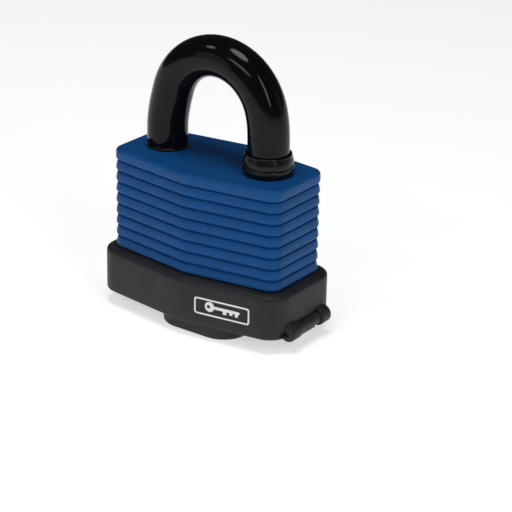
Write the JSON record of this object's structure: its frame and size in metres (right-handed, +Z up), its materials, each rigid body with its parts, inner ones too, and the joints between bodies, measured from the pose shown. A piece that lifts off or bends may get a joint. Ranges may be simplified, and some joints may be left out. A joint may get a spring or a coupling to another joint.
{
  "type": "padlock",
  "caption": "Weather-covered laminated padlock with a sleeved steel shackle, a pin-tumbler cylinder and a hinged keyway flap, for locking gates and hasps outdoors.",
  "frame": {"origin": "centre of the keyway flap's flat foot, on the lock cylinder's axis", "axes": "+Z up towards the shackle, +X towards the flap hinge and the toe leg, -Y is the front with the badge"},
  "size_m": [0.0657, 0.0364, 0.0827],
  "materials": {
    "cover_blue": "satin",
    "base_charcoal": "matte",
    "flap_charcoal": "matte",
    "seal_rubber": "satin",
    "hinge_steel": "satin",
    "badge_white": "satin",
    "shackle_steel": "satin",
    "sleeve_black": "gloss",
    "lamination_steel": "satin",
    "rivet_steel": "satin",
    "spring_steel": "satin",
    "lock_brass": "satin",
    "inner_steel": "satin"
  },
  "bodies": {
    "case": {"badge": "badge_white", "base_cap": "base_charcoal", "body_cover": "cover_blue", "cylinder_shell": "lock_brass", "driver_pin_1": "lock_brass", "driver_pin_2": "lock_brass", "driver_pin_3": "lock_brass", "driver_pin_4": "lock_brass", "driver_pin_5": "lock_brass", "flap_hinge_pin": "hinge_steel", "heel_seal": "seal_rubber", "lift_spring": "spring_steel", "pin_cover": "inner_steel", "pin_spring_1": "spring_steel", "pin_spring_2": "spring_steel", "pin_spring_3": "spring_steel", "pin_spring_4": "spring_steel", "pin_spring_5": "spring_steel", "plate_01": "lamination_steel", "plate_02": "lamination_steel", "plate_03": "lamination_steel", "plate_04": "lamination_steel", "plate_05": "lamination_steel", "plate_06": "lamination_steel", "plate_07": "lamination_steel", "plate_08": "lamination_steel", "plate_09": "lamination_steel", "plate_10": "lamination_steel", "plate_11": "lamination_steel", "plate_12": "lamination_steel", "plate_13": "lamination_steel", "rivet_1": "rivet_steel", "rivet_2": "rivet_steel", "rivet_3": "rivet_steel", "rivet_4": "rivet_steel", "toe_seal": "seal_rubber"},
    "flap": {"keyway_flap": "flap_charcoal", "flap_pad": "seal_rubber"},
    "shackle": {"shackle": "shackle_steel", "shackle_sleeve": "sleeve_black"},
    "plug": {"plug": "lock_brass", "plug_clip": "inner_steel", "cam": "inner_steel", "key_pin_1": "lock_brass", "key_pin_2": "lock_brass", "key_pin_3": "lock_brass", "key_pin_4": "lock_brass", "key_pin_5": "lock_brass"},
    "toe_bolt": {"toe_bolt": "inner_steel"},
    "heel_bolt": {"heel_bolt": "inner_steel"}
  },
  "joints": [
    {"name": "flap_hinge", "type": "hinge", "parent": "case", "child": "flap", "pos_m": [0.0315, 0, 0.0057], "axis": [0, -1, 0], "range_deg": [0, 110]},
    {"name": "plug_turn", "type": "hinge", "parent": "case", "child": "plug", "pos_m": [0, 0, 0.0048], "axis": [0, 0, -1], "range_deg": [0, 90]},
    {"name": "toe_bolt_slide", "type": "slide", "parent": "case", "child": "toe_bolt", "axis": [1, 0, 0], "range_m": [0, 0.0017]},
    {"name": "heel_bolt_slide", "type": "slide", "parent": "case", "child": "heel_bolt", "axis": [-1, 0, 0], "range_m": [0, 0.0017]},
    {"name": "shackle_lift", "type": "slide", "parent": "case", "child": "shackle", "axis": [0, 0, 1], "range_m": [0, 0.018], "deforming": ["lift_spring"]}
  ],
  "couplings": [
    {"joint": "toe_bolt_slide", "follows": "plug_turn", "m_per_rad": 0.0010823},
    {"joint": "heel_bolt_slide", "follows": "plug_turn", "m_per_rad": 0.0010823}
  ]
}
